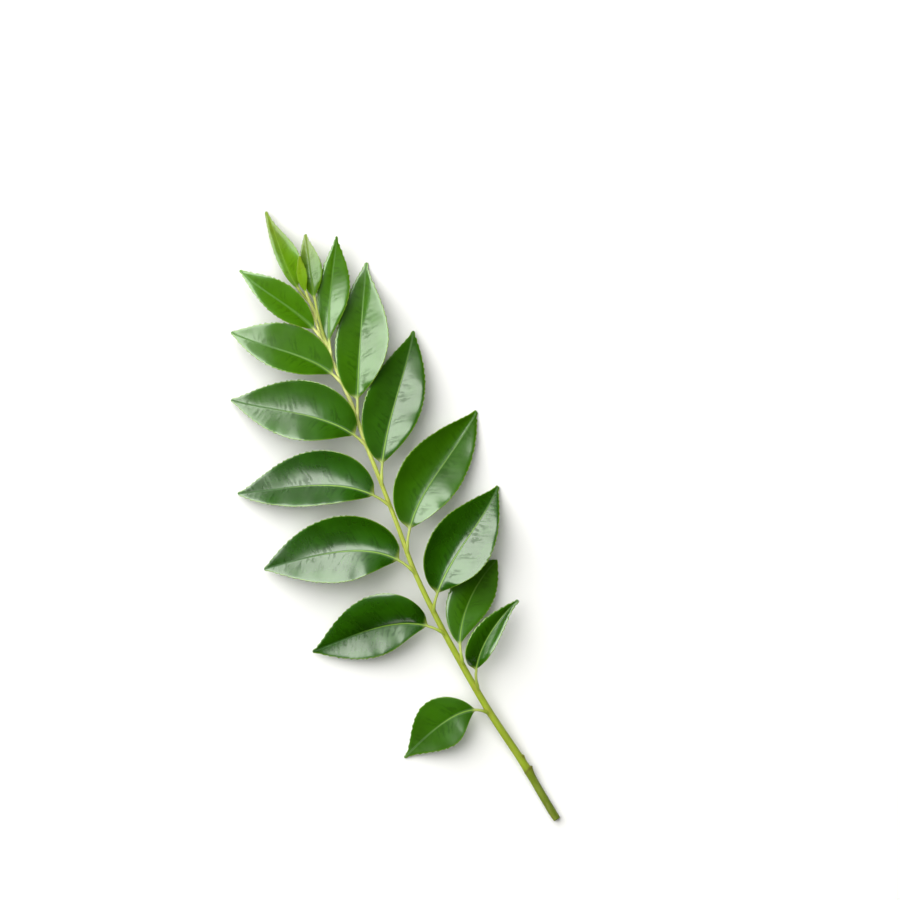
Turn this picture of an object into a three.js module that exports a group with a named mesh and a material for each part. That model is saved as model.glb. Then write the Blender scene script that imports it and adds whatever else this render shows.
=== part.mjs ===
// A fresh curry leaf sprig laid on a table: one green stalk, cut square at its lower end, with glossy
// leaflets on both sides and three young ones at its tip. Millimetres; +Y runs up the stalk, +Z is up.
import * as THREE from "three";

// ---- driving dimensions ------------------------------------------------------------------------

// The stalk's centre line, from the cut end to the tip: across, along, above the table.
const STALK_LINE = [
  [0.4, 0, 1.2],
  [-0.6, 10, 1.4],
  [-1.3, 18, 2.0],
  [-4.2, 38, 4.1],
  [-5.8, 56, 6.2],
  [-6.6, 70, 7.4],
  [-6.7, 86, 8.4],
  [-5.5, 100, 8.9],
  [-4.4, 116, 9.1],
  [-3.7, 127, 9.0],
  [-2.7, 137, 8.7],
  [-2.4, 150, 8.2],
  [-2.2, 162, 7.6],
  [-1.1, 171, 7.2],
];
const STALK_RADII = [1.2, 1.12, 0.95, 0.75, 0.6, 0.5, 0.36]; // evenly spaced from cut end to tip
const STALK_SIDES = 10;
const STALK_RINGS = 64;
const SCAR_AT = 17; // an old leaf scar swells the stalk here, up from the cut
const SCAR_SWELL = 0.13;
const SCAR_LENGTH = 1.8;

const JOINT_GAP = 0.3; // a stalklet stops this far from the stalk's skin
const END_GAP = 0.45; // and the leaflet that ends the stalk stops this far beyond it
const JOINT_CLIMB = 52; // the stalklets stand on the upper sides of the stalk, this far up from level
const STALKLET_RADIUS = 0.34;
const STALKLET_CROWN = 0.4; // a stalklet is this much thinner at its sides than in its middle
const BLADE_THICKNESS = 0.4;
const MIDRIB_DEPTH = 0.3; // the midrib stands this far below the blade
const TIP_HALF_WIDTH = 0.4; // the blade ends in a small blunt point

const FOLD_FADE = 0.35; // the fold grows this much shallower towards the tip
const BLADE_STARTS = 0.12; // the fold and the thin blade take this share of the length to set in

const STALKLET_STEPS = 4;
const BLADE_STEPS = 16;
const RING_EASING = 0.6; // 0 spaces the rings of a blade evenly, 1 draws them most to its ends
const ACROSS = [-1, -0.5, 0, 0.5, 1]; // lengthwise rows of points, from right margin to left margin

// One row for each leaflet. Angles are in degrees; those in plan count to the left of +Y.
//   side    the side of the stalk that it stands on, or "end" for the one that ends the stalk
//   at      where it joins the stalk, up from the cut
//   plan    [the way the stalklet sets out, the line from joint to tip, the way the tip points]
//   reach   straight distance in plan from joint to tip
//   stalk   length of the stalklet
//   left    [half width, where it is broadest from base 0 to tip 1, fullness] of the left half
//   right   the same for the right half; a low fullness rounds the base off
//   tilt    how steeply the left half and the right half rise from the midrib
//   bow     how far each half arches, as a share of its rise; below 0 it sags and turns up at the margin
//   twist   how far the left half steepens, and the right half flattens, from base to tip
//   rise    how steeply the stalklet climbs, and dip how steeply the tip points down
//   tip     the height of the tip's underside above the table
const LEAFLETS = {
  leaflet_tip: {
    side: "end", at: 172, plan: [22, 1, 2], reach: 31, stalk: 5.5,
    left: [2, 0.48, 0.7], right: [4.7, 0.36, 1.2],
    tilt: [11, 32], bow: [0.6, 0.2], twist: 6, rise: 4, dip: 24, tip: 1,
  },
  leaflet_bud: {
    side: "right", at: 169.4, plan: [4, -12, -30], reach: 17, stalk: 7,
    left: [1.1, 0.42, 0.9], right: [1.7, 0.5, 1.2],
    tilt: [14, -2], bow: [0, 0.2], twist: -2, rise: 36, dip: -1, tip: 11.5,
  },
  leaflet_tip_right: {
    side: "right", at: 159.3, plan: [-4, -15, -16], reach: 33.4, stalk: 14.2,
    left: [2.7, 0.46, 0.8], right: [3.5, 0.44, 1.2],
    tilt: [12, 3], bow: [-1, -1.6], twist: -16, rise: 20, dip: 15, tip: 5,
  },
  leaflet_left_1: {
    side: "left", at: 163, plan: [14, 27, 18], reach: 30.3, stalk: 1.5,
    left: [4.2, 0.41, 1], right: [5.3, 0.46, 0.92],
    tilt: [25, 19], bow: [0.2, 0.2], twist: -6, rise: 1, dip: 29, tip: 6.5,
  },
  leaflet_left_2: {
    side: "left", at: 148, plan: [20, 42, 37], reach: 35.5, stalk: 2.2,
    left: [5.7, 0.46, 1], right: [8.3, 0.44, 0.78],
    tilt: [33, 6], bow: [0, -0.4], twist: -8, rise: -1, dip: 24, tip: 4.5,
  },
  leaflet_left_3: {
    side: "left", at: 128, plan: [22, 48, 48], reach: 42, stalk: 2.9,
    left: [7.6, 0.46, 1], right: [10.2, 0.39, 0.67],
    tilt: [33, 9], bow: [0, -0.8], twist: 6, rise: 15, dip: 19, tip: 1.5,
  },
  leaflet_left_4: {
    side: "left", at: 108.5, plan: [28, 62, 70], reach: 45.3, stalk: 4.1,
    left: [5.9, 0.48, 0.8], right: [10.4, 0.38, 0.74],
    tilt: [37, 3], bow: [0, -3], twist: 8, rise: 12, dip: 14, tip: 1.5,
  },
  leaflet_left_5: {
    side: "left", at: 87.7, plan: [23, 66, 81], reach: 44.5, stalk: 4,
    left: [8.9, 0.45, 0.9], right: [10.5, 0.4, 0.67],
    tilt: [33, 6], bow: [0, -2.6], twist: 18, rise: 6, dip: 14, tip: 3,
  },
  leaflet_left_6: {
    side: "left", at: 67, plan: [37, 75, 86], reach: 39.5, stalk: 3.8,
    left: [8.3, 0.48, 1], right: [9.9, 0.38, 0.74],
    tilt: [6, 23], bow: [-0.4, 1.2], twist: 14, rise: 9, dip: -7, tip: 2.5,
  },
  leaflet_left_7: {
    side: "left", at: 39, plan: [42, 95, 111], reach: 29, stalk: 3.2,
    left: [7.3, 0.42, 1], right: [7.8, 0.41, 1.15],
    tilt: [12, -1], bow: [-0.2, 1], twist: 20, rise: 30, dip: 10, tip: 0.5,
  },
  leaflet_right_1: {
    side: "right", at: 156.6, plan: [-18, -29, -30], reach: 34.8, stalk: 2.8,
    left: [3.9, 0.46, 1], right: [5.6, 0.5, 1.35],
    tilt: [3, 4], bow: [2.4, 0.2], twist: 24, rise: 0, dip: -3, tip: 6.5,
  },
  leaflet_right_2: {
    side: "right", at: 136.6, plan: [-25, -29, -29], reach: 45.5, stalk: 3.7,
    left: [7.2, 0.4, 0.67], right: [8.3, 0.43, 1.1],
    tilt: [12, 33], bow: [0, 0], twist: -14, rise: -4, dip: 15, tip: 0,
  },
  leaflet_right_3: {
    side: "right", at: 116, plan: [-26, -38, -34], reach: 45.3, stalk: 3.9,
    left: [8.8, 0.4, 0.78], right: [8.2, 0.46, 1],
    tilt: [11, 7], bow: [-0.6, 0.2], twist: 12, rise: -4, dip: 27, tip: 1.5,
  },
  leaflet_right_4: {
    side: "right", at: 94.3, plan: [-28, -53, -50], reach: 45.7, stalk: 4.8,
    left: [10, 0.4, 0.68], right: [7.7, 0.45, 0.9],
    tilt: [19, 13], bow: [-1.6, -0.6], twist: 24, rise: 5, dip: 8, tip: 0.5,
  },
  leaflet_right_5: {
    side: "right", at: 74.4, plan: [-36, -54, -47], reach: 41.3, stalk: 3.9,
    left: [9.4, 0.4, 0.72], right: [8.5, 0.43, 1],
    tilt: [18, 32], bow: [-1.8, 0], twist: -2, rise: 13, dip: 26, tip: 0.5,
  },
  leaflet_right_6: {
    side: "right", at: 56.8, plan: [-13, -46, -69], reach: 31.7, stalk: 3.9,
    left: [6.7, 0.52, 0.9], right: [6.5, 0.56, 1.1],
    tilt: [7, -3], bow: [3, 1], twist: 16, rise: 1, dip: 0, tip: 4,
  },
  leaflet_right_7: {
    side: "right", at: 47.4, plan: [-10, -52, -74], reach: 29, stalk: 5,
    left: [4.7, 0.3, 0.5], right: [3.1, 0.38, 0.82],
    tilt: [30, 43], bow: [0.6, 0], twist: -16, rise: 27, dip: 7, tip: 7,
  },
};

const YOUNG = new Set(["leaflet_tip", "leaflet_bud", "leaflet_tip_right"]);

// ---- finishes ----------------------------------------------------------------------------------

const matureLeaf = new THREE.MeshStandardMaterial({ color: 0x3f7a1c, roughness: 0.38, metalness: 0 });
const youngLeaf = new THREE.MeshStandardMaterial({ color: 0x7da51f, roughness: 0.42, metalness: 0 });
const greenStalk = new THREE.MeshStandardMaterial({ color: 0xa4bb4a, roughness: 0.5, metalness: 0 });

// ---- helpers -----------------------------------------------------------------------------------

const UP = new THREE.Vector3(0, 0, 1);

// A unit vector that points `left` degrees to the left of +Y and climbs by `climb` degrees.
function direction(left, climb) {
  const turn = THREE.MathUtils.degToRad(left);
  const slope = THREE.MathUtils.degToRad(climb);
  const level = Math.cos(slope);
  return new THREE.Vector3(-Math.sin(turn) * level, Math.cos(turn) * level, Math.sin(slope));
}

// Moves every vertex of a closed three.js shape to where place(x, y, z) puts it.
function reshape(shape, place) {
  const points = shape.getAttribute("position");
  const from = new THREE.Vector3();
  for (let i = 0; i < points.count; i++) {
    from.fromBufferAttribute(points, i);
    const to = place(from.x, from.y, from.z);
    points.setXYZ(i, to.x, to.y, to.z);
  }
  shape.computeVertexNormals();
  return shape;
}

// ---- the stalk ---------------------------------------------------------------------------------

const stalkLine = new THREE.CatmullRomCurve3(
  STALK_LINE.map((point) => new THREE.Vector3(...point)),
  false,
  "centripetal",
);
stalkLine.arcLengthDivisions = 800;
const stalkLength = stalkLine.getLength();

// The stalk's radius at a distance up from the cut.
function stalkRadius(distance) {
  const place = (distance / stalkLength) * (STALK_RADII.length - 1);
  const below = Math.min(Math.floor(place), STALK_RADII.length - 2);
  const plain = THREE.MathUtils.lerp(STALK_RADII[below], STALK_RADII[below + 1], place - below);
  return plain * (1 + SCAR_SWELL * Math.exp(-(((distance - SCAR_AT) / SCAR_LENGTH) ** 2)));
}

// A closed tube along the centre line, with a flat cut face at each end.
function stalkShape() {
  const tube = new THREE.CylinderGeometry(1, 1, 1, STALK_SIDES, STALK_RINGS);
  return reshape(tube, (x, y, z) => {
    const share = THREE.MathUtils.clamp(y + 0.5, 0, 1);
    const along = stalkLine.getTangentAt(share);
    const side = new THREE.Vector3().crossVectors(along, UP).normalize();
    const top = new THREE.Vector3().crossVectors(side, along);
    const radius = stalkRadius(share * stalkLength);
    return stalkLine.getPointAt(share).addScaledVector(side, x * radius).addScaledVector(top, z * radius);
  });
}

// ---- a leaflet ---------------------------------------------------------------------------------

// The leaflet's own centre line: up out of the stalk, along the stalklet and the midrib to the tip.
function midribLine(leaflet) {
  const [sets, heads, points] = leaflet.plan;
  const goesOn = leaflet.side === "end";
  const joint = stalkLine.getPointAt(goesOn ? 1 : leaflet.at / stalkLength);
  const clear = goesOn ? END_GAP : stalkRadius(leaflet.at) + JOINT_GAP + STALKLET_RADIUS;
  const sideways = direction(leaflet.side === "left" ? 90 : -90, JOINT_CLIMB);
  const start = joint.clone().addScaledVector(goesOn ? stalkLine.getTangentAt(1) : sideways, clear);
  const end = joint.clone().addScaledVector(direction(heads, 0), leaflet.reach);
  end.z = leaflet.tip + BLADE_THICKNESS / 2;
  const pull = start.distanceTo(end) / 3;
  return new THREE.CubicBezierCurve3(
    start,
    start.clone().addScaledVector(direction(sets, leaflet.rise), pull),
    end.clone().addScaledVector(direction(points, -leaflet.dip), -pull),
    end,
  );
}

// Half the blade's width at t, from 0 at its base to 1 at its tip.
function halfWidth([widest, at, fullness], t) {
  const taper = (fullness * (1 - at)) / at;
  return widest * (t / at) ** fullness * ((1 - t) / (1 - at)) ** taper;
}

// Where the rings of points stand: evenly along the stalklet, closer together at the blade's ends.
function ringStations(base) {
  const stalklet = Array.from({ length: STALKLET_STEPS }, (_, i) => (base * i) / STALKLET_STEPS);
  const blade = Array.from({ length: BLADE_STEPS + 1 }, (_, i) => {
    const even = i / BLADE_STEPS;
    const eased = (1 - Math.cos(Math.PI * even)) / 2;
    return base + (1 - base) * THREE.MathUtils.lerp(even, eased, RING_EASING);
  });
  return [...stalklet, ...blade];
}

// A thin closed blade, valley-folded along its midrib, that narrows into its round-backed stalklet.
function leafletShape(leaflet) {
  const line = midribLine(leaflet);
  const base = leaflet.stalk / line.getLength();
  const stations = ringStations(base);
  const slab = new THREE.BoxGeometry(1, 1, 1, ACROSS.length - 1, 1, stations.length - 1);
  return reshape(slab, (x, y, z) => {
    const share = stations[Math.round((0.5 - z) * (stations.length - 1))];
    const across = -ACROSS[Math.round((x + 0.5) * (ACROSS.length - 1))];
    const t = THREE.MathUtils.clamp((share - base) / (1 - base), 0, 1);
    const blade = THREE.MathUtils.smoothstep(t, 0, BLADE_STARTS); // 0 on the stalklet, 1 on the blade
    const half = across > 0 ? 0 : 1;
    const edge = THREE.MathUtils.lerp(STALKLET_RADIUS, TIP_HALF_WIDTH, t);
    const width = Math.hypot(halfWidth(half ? leaflet.right : leaflet.left, t), edge);
    const out = Math.abs(across);
    const turn = leaflet.twist * (half ? 0.5 - t : t - 0.5);
    const slope = Math.tan(THREE.MathUtils.degToRad(leaflet.tilt[half] + turn));
    const fold = slope * blade * (1 - FOLD_FADE * t * t);
    const lift = width * fold * (out + leaflet.bow[half] * out * (1 - out));
    const rib = (1 - out) * MIDRIB_DEPTH * (1 - t);
    const round = STALKLET_RADIUS * (1 - STALKLET_CROWN * out);
    const top = THREE.MathUtils.lerp(round, BLADE_THICKNESS / 2, blade);
    const bottom = THREE.MathUtils.lerp(-round, -BLADE_THICKNESS / 2 - rib, blade);
    const along = line.getTangentAt(share);
    const left = new THREE.Vector3().crossVectors(UP, along).normalize();
    const normal = new THREE.Vector3().crossVectors(along, left);
    return line
      .getPointAt(share)
      .addScaledVector(left, across * width)
      .addScaledVector(UP, lift)
      .addScaledVector(normal, y > 0 ? top : bottom);
  });
}

// ---- the sprig ---------------------------------------------------------------------------------

const sprig = new THREE.Group();

function addPiece(name, shape, finish) {
  const piece = new THREE.Mesh(shape, finish);
  piece.name = name;
  sprig.add(piece);
}

addPiece("stem", stalkShape(), greenStalk);
for (const [name, leaflet] of Object.entries(LEAFLETS)) {
  addPiece(name, leafletShape(leaflet), YOUNG.has(name) ? youngLeaf : matureLeaf);
}

// The origin is the middle of the sprig's footprint, on the table.
const box = new THREE.Box3().setFromObject(sprig);
const middle = box.getCenter(new THREE.Vector3());
sprig.position.set(-middle.x, -middle.y, -box.min.z);

export default sprig;
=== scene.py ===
# %% [markdown]
# # A curry leaf sprig
# One compound leaf of the curry tree, cut and laid on a pale table: a green stalk, fourteen glossy leaflets
# on its two sides and three young ones at the tip. This lesson grows a fine version of every leaflet over
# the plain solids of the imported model, gives each surface its finish, and lights it like a studio table.

# %% Load the plain model
import math

import bpy
import numpy as np
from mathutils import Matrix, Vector


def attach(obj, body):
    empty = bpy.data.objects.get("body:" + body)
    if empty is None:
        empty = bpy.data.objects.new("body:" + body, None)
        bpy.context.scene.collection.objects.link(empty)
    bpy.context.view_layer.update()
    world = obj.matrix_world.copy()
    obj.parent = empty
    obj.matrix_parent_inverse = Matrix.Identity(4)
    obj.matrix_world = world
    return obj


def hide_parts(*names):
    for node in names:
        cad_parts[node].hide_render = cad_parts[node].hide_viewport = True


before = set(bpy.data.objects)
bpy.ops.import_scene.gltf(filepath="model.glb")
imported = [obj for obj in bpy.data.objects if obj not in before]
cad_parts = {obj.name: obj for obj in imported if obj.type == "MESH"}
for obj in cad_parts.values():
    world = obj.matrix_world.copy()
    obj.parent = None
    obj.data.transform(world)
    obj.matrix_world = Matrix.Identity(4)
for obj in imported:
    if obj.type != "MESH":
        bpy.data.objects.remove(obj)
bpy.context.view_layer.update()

MM = 0.001

# %% [markdown]
# ## The camera
# The sprig is looked at from straight above, from far off, so that leaflets at different heights keep their
# shapes. A long lens on a high camera does this better than a wide one close by. The camera is turned, so
# that the stalk runs from the lower right to the upper left of the view.

# %% Camera
VIEW_CENTRE = (26.6 * MM, 12.9 * MM)
VIEW_HEIGHT = 1.5
VIEW_WIDTH = 0.27  # of the stretch of table that fills the view
VIEW_TURN = math.radians(-25)
SENSOR_WIDTH = 36  # mm

scene = bpy.context.scene


def add_object(name, data):
    made = bpy.data.objects.new(name, data)
    scene.collection.objects.link(made)
    return made


camera = add_object("camera", bpy.data.cameras.new("camera"))
camera.data.sensor_width = SENSOR_WIDTH
camera.data.lens = SENSOR_WIDTH * VIEW_HEIGHT / VIEW_WIDTH
camera.location = (*VIEW_CENTRE, VIEW_HEIGHT)
camera.rotation_euler = (0, 0, VIEW_TURN)
scene.camera = camera
print("lens, mm:", round(camera.data.lens))

# %% [markdown]
# ## Reading a leaflet
# In the plain model a leaflet is a closed slab of 21 rings of ten points: five along the top from the left
# margin over the midrib to the right one, and five below them. The first four rings are its little stalk.
# The rings can be found again from any mesh of it: the last one is the corners of the small flat face that
# ends the tip, and each step from there to the neighbouring points is one ring nearer to the stalk.

# %% Points, faces and the tip
COLUMNS = 5
MIDRIB = COLUMNS // 2  # the midrib's column
RING_POINTS = 2 * COLUMNS
DECIMALS = 7  # of a metre: vertices that agree so far share one place
END_FACING = 0.75  # the tip's end faces look at least this much along the leaflet


def separate_points(node):
    """The places that a node's vertices share, and each face as a loop of their numbers with its normal."""
    corners = np.array([v.co for v in node.data.vertices])
    points, number = np.unique(corners.round(DECIMALS), axis=0, return_inverse=True)
    number = number.reshape(-1).tolist()
    faces = [([number[v] for v in face.vertices], face.normal) for face in node.data.polygons]
    return points, faces


def unit(vectors):
    return vectors / np.linalg.norm(vectors, axis=-1, keepdims=True)


def left_of(way):
    """The level directions to the left of a line's directions."""
    return unit(np.stack([-way[:, 1], way[:, 0], 0 * way[:, 0]], axis=1))


stalk_points, _ = separate_points(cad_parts["stem"])
print("points of the plain stalk:", len(stalk_points))


def tip_corners(points, faces):
    """The numbers of the points round the small flat face that ends the tip."""
    from_stalk = [np.linalg.norm(stalk_points - p, axis=1).min() for p in points]
    nearest_tip = np.argsort(np.linalg.norm(points - points[np.argmax(from_stalk)], axis=1))
    near_tip = set(nearest_tip[: 3 * RING_POINTS].tolist())
    outward = points[nearest_tip[:RING_POINTS]].mean(0) - points[nearest_tip[: 4 * RING_POINTS]].mean(0)
    outward = Vector(unit(outward))
    found = set()
    for loop, normal in faces:
        if normal @ outward > END_FACING and near_tip >= set(loop):
            found |= set(loop)
    return found


# %% Rings of a leaflet
RING_COUNT = 21
BLADE_RING = 4  # the ring where the blade starts


def leaflet_rings(name):
    """Points of a leaflet by ring from the stalk, by column from the left, and top before underside."""
    points, faces = separate_points(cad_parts[name])
    joined = [set() for _ in points]
    for loop, _ in faces:
        for a, b in zip(loop, loop[1:] + loop[:1]):
            joined[a].add(b)
            joined[b].add(a)
    ring = tip_corners(points, faces)
    found, seen = [], set()
    while ring:
        found.append(sorted(ring))
        seen |= ring
        ring = {other for p in ring for other in joined[p]} - seen
    assert [len(r) for r in found] == [RING_POINTS] * RING_COUNT, name
    rings = points[np.array(found[::-1])]
    left = left_of(np.gradient(rings.mean(axis=1), axis=0))
    by_column = np.argsort(-np.einsum("rpk,rk->rp", rings, left), axis=1)
    pairs = np.take_along_axis(rings, by_column[..., None], axis=1).reshape(RING_COUNT, COLUMNS, 2, 3)
    top_first = np.argsort(-pairs[..., 2], axis=2)
    return np.take_along_axis(pairs, top_first[..., None], axis=2)


LEAFLETS = sorted(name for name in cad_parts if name.startswith("leaflet"))
plain = {name: leaflet_rings(name) for name in LEAFLETS}
for name, rings in plain.items():
    run = np.linalg.norm(np.diff(rings[:, MIDRIB, 0], axis=0), axis=1).sum()
    width = np.linalg.norm(rings[:, 0, 0] - rings[:, -1, 0], axis=1).max()
    print(f"{name}: {run / MM:.1f} mm long, {width / MM:.1f} mm wide")

# %% [markdown]
# ## The stalk's line
# The plain stalk is a tube of ten-sided rings along Y. Sorted by Y, and without the two outermost points,
# what is left falls into those rings, and the middle of each is a point of the stalk's centre line. What is
# grown later is read from such lines between their points, on one smooth curve.

# %% Centre line and thickness of the stalk
STALK_SIDES = 10
stalk_rows = stalk_points[np.argsort(stalk_points[:, 1])][1:-1].reshape(-1, STALK_SIDES, 3)
stalk_middle = stalk_rows.mean(axis=1)
stalk_radius = np.linalg.norm(stalk_rows - stalk_middle[:, None], axis=2).mean(axis=1)


def distances(points):
    """How far along a line of points each one lies."""
    return np.concatenate([[0], np.cumsum(np.linalg.norm(np.diff(points, axis=0), axis=1))])


stalk_run = distances(stalk_middle)
print(f"stalk: {stalk_run[-1] / MM:.0f} mm long, {2 * stalk_radius[0] / MM:.1f} mm thick at the cut")


def smooth_between(at, values, where):
    """Values known at places along a line, read between them on one smooth curve."""
    slopes = np.gradient(values, at, axis=0)
    i = np.clip(np.searchsorted(at, where, side="right") - 1, 0, len(at) - 2)
    tall = (-1,) + (1,) * (values.ndim - 1)
    gap = (at[i + 1] - at[i]).reshape(tall)
    t = (where - at[i]).reshape(tall) / gap
    start = (2 * t**3 - 3 * t**2 + 1) * values[i] + (t**3 - 2 * t**2 + t) * gap * slopes[i]
    end = (3 * t**2 - 2 * t**3) * values[i + 1] + (t**3 - t**2) * gap * slopes[i + 1]
    return start + end


def smoothstep(low, high, value):
    t = np.clip((value - low) / (high - low), 0, 1)
    return t * t * (3 - 2 * t)


# %% [markdown]
# ## A skin over rings
# Both the stalk and the leaflets are grown the same way: many loops of points, one after the other, with a
# skin of four-cornered faces between each loop and the next, and a fan that closes each end. Modelling the
# points in numbers keeps every tooth and vein exactly where it should be.

# %% Mesh from loops
def skin(name, loops, faces_of=0, first_fan=0):
    """A closed mesh over loops; faces_of and first_fan number the materials of its strips and its start."""
    count, size = loops.shape[:2]
    points = np.concatenate([loops.reshape(-1, 3), loops[0].mean(0)[None], loops[-1].mean(0)[None]])
    place = np.arange(size)
    turn = (place + 1) % size
    ring = np.arange(count - 1)[:, None] * size
    corners = [ring + place, ring + turn, ring + size + turn, ring + size + place]
    quads = np.stack(corners, axis=-1).reshape(-1, 4)
    end = (count - 1) * size
    start_fan = np.stack([turn, place, np.full(size, count * size)], axis=1)
    end_fan = np.stack([end + place, end + turn, np.full(size, count * size + 1)], axis=1)
    mesh = bpy.data.meshes.new(name)
    mesh.from_pydata(points.tolist(), [], quads.tolist() + start_fan.tolist() + end_fan.tolist())
    mesh.shade_smooth()
    strips = np.broadcast_to(faces_of, (count - 1, size)).reshape(-1)
    numbers = np.concatenate([strips, np.full(size, first_fan), np.zeros(size, int)])
    mesh.polygons.foreach_set("material_index", numbers.astype(np.int32))
    return add_object(name, mesh)


def paint(made, label, values):
    """Stores one value or three at each point for the finishes; an end point gets its loop's mean."""
    values = np.asarray(values, dtype=np.float32)
    flat = values.reshape((-1,) + values.shape[2:])
    flat = np.concatenate([flat, values[0].mean(0)[None], values[-1].mean(0)[None]])
    kind, field = ("FLOAT_VECTOR", "vector") if flat.ndim == 2 else ("FLOAT", "value")
    layer = made.data.attributes.new(label, kind, "POINT")
    layer.data.foreach_set(field, flat.ravel())


# %% [markdown]
# ## Chance that repeats
# Leaves are never regular, so waves, teeth and veins drift a little. The drift is a sum of a few sine waves
# from a seeded generator: smooth, and the same on every run.

# %% Smooth randomness
STRETCHES = (1, 1.7, 0.6)  # the lengths of a line's waves, as shares of the length asked for
HUMP_WAVES = 6
HUMP_GAIN = 1.6  # the waves rarely meet, so their sum is raised


def wander(rng, at, wave):
    """A smooth random line between -1 and 1, made of three waves of about this length."""
    total = 0
    for stretch in STRETCHES:
        total = total + np.sin(2 * np.pi * (at / (wave * stretch) + rng.random())) / len(STRETCHES)
    return total


def ripple(rng, along, out):
    """A smooth random surface, mostly between -1 and 1, about one hump for each unit along and out."""
    total = 0
    for _ in range(HUMP_WAVES):
        turn, stretch, shift = rng.uniform(0, 2 * np.pi), rng.uniform(0.5, 1.1), rng.random()
        wave = stretch * (along * np.cos(turn) + out * np.sin(turn)) + shift
        total = total + np.sin(2 * np.pi * wave) / HUMP_WAVES
    return HUMP_GAIN * total


# %% [markdown]
# ## The points of a blade
# Points lie closest together at the midrib and at the margin, where the shape turns fastest, and farthest
# apart between them. From the five columns of the plain leaflet, a smooth bow through three of them gives
# each half of the blade its rounded section.

# %% The blade's sheet
HALF_POINTS = 20  # points from midrib to margin
CROWDING = 0.72  # 0 spaces them evenly, towards 1 they crowd at midrib and margin

across = np.linspace(-1, 1, 2 * HALF_POINTS + 1)
across = np.sign(across) * (np.abs(across) - CROWDING * np.sin(2 * np.pi * np.abs(across)) / (2 * np.pi))
share_out = np.abs(across)
side = np.sign(across)[None, :]  # -1 on the left half, 1 on the right
print("points round a leaflet:", 2 * len(across) + 2)


def sheet_across(columns):
    """From five columns to all the points across: a smooth bow from the midrib to each margin."""
    w = share_out[None, :, None]
    shares = ((1 - w) * (1 - 2 * w), 4 * w * (1 - w), w * (2 * w - 1))
    left, right = (shares[0] * columns[:, None, MIDRIB] + shares[1] * columns[:, None, MIDRIB + step]
                   + shares[2] * columns[:, None, MIDRIB + 2 * step] for step in (-1, 1))
    return np.where(across[None, :, None] < 0, left, right)


# %% [markdown]
# ## The relief of a blade
# A curry leaflet is a thin glossy blade, folded along its midrib, with finely toothed margins that roll down
# at the very edge. Its side veins leave the midrib at a steep angle and sink a little into the upper face,
# and the sheet between them puckers slightly. All of it is height above the plain sheet, worked out from how
# far a point is from the base (s), from the midrib (x) and from the margin (inward); t is s as a share.

# %% The large shape
CREASE = 0.05 * MM
WAVE, WAVE_LENGTH = 0.22 * MM, 13 * MM
PUCKER, PUCKER_LENGTH, PUCKER_WIDTH = 0.03 * MM, 9 * MM, 7 * MM
ROLL_WIDTH = 1.1 * MM


def blade_form(rng, s, x, t, inward, fold, roll):
    """A rounded fold, slow waves at the margins, puckers and the rolled edge."""
    crease = CREASE * fold * np.exp(-x / CREASE)
    waves = [wander(rng, s, WAVE_LENGTH) for _ in range(2)]
    wave = WAVE * np.where(side < 0, *waves) * share_out**1.6 * smoothstep(0, 0.25, t) * (1 - 0.6 * t)
    pucker = PUCKER * ripple(rng, s / PUCKER_LENGTH, side * x / PUCKER_WIDTH) * share_out
    pucker = pucker * (1 - share_out**4) * smoothstep(0, 0.2, t) * (1 - 0.7 * t)
    edge = -roll * np.clip(1 - inward / ROLL_WIDTH, 0, 1) ** 3 * smoothstep(0.02, 0.2, t)
    return crease + wave + pucker + edge


# %% Side veins
VEIN_PITCH = 1.9 * MM
VEIN_LEAN = 0.42  # how far a vein runs towards the tip for each step outward
VEIN_BEND = 9  # and how much faster it does so near the margin
VEIN_DRIFT, VEIN_DRIFT_LENGTH = 0.55 * MM, 8 * MM
VEIN_DEPTH = 0.009 * MM
VEIN_CHANGE = (0.45, 5 * MM)  # how fast their depth changes: humps for each vein, and their size outward


def vein_places(rng, s, x):
    """Counts the side veins from the base: whole numbers lie on a vein."""
    place = s - VEIN_LEAN * x - VEIN_BEND * x**2 + np.where(side < 0, 0.5, 0) * VEIN_PITCH
    return (place + VEIN_DRIFT * wander(rng, place, VEIN_DRIFT_LENGTH)) / VEIN_PITCH


def vein_relief(rng, count, x, t):
    """How far the side veins sink, each one to a depth of its own."""
    line = (0.5 + 0.5 * np.cos(2 * np.pi * count)) ** 3
    depth = 0.65 + 0.6 * ripple(rng, count * VEIN_CHANGE[0], x / VEIN_CHANGE[1])
    reach = smoothstep(0.1 * MM, 0.9 * MM, x) * (1 - share_out**4) * smoothstep(0, 0.12, t)
    return VEIN_DEPTH * line * depth * reach


# %% [markdown]
# ## The margin
# The margin of a curry leaflet is finely crenate: each tooth swells slowly towards the tip and ends in a
# short step. The teeth are weak near the base and clearest on the outer half.

# %% Teeth
TOOTH_PITCH = 1.75 * MM
TOOTH_DEPTH = 0.5 * MM
TOOTH_REACH = 0.9 * MM  # how far in from the margin a tooth still moves the blade
TOOTH_DRIFT, TOOTH_DRIFT_LENGTH = 0.5 * MM, 6 * MM
TOOTH_CHANGE = 5 * MM  # about how far apart large and small teeth are
OTHER_MARGIN = 40 * MM  # keeps the two margins from being alike


def teeth(rng, s, t, strength):
    """How far the margin is pushed out at each point."""
    bite = s + TOOTH_DRIFT * wander(rng, s, TOOTH_DRIFT_LENGTH) + np.where(side < 0, 0.4, 0) * TOOTH_PITCH
    part = (bite / TOOTH_PITCH) % 1
    tooth = part**1.4 * (1 - smoothstep(0.86, 1, part)) - 0.35
    size = 0.75 + 0.45 * wander(rng, s + side * OTHER_MARGIN, TOOTH_CHANGE)
    return strength * TOOTH_DEPTH * size * tooth * smoothstep(0.15, 0.5, t) * (1 - smoothstep(0.95, 1, t))


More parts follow.
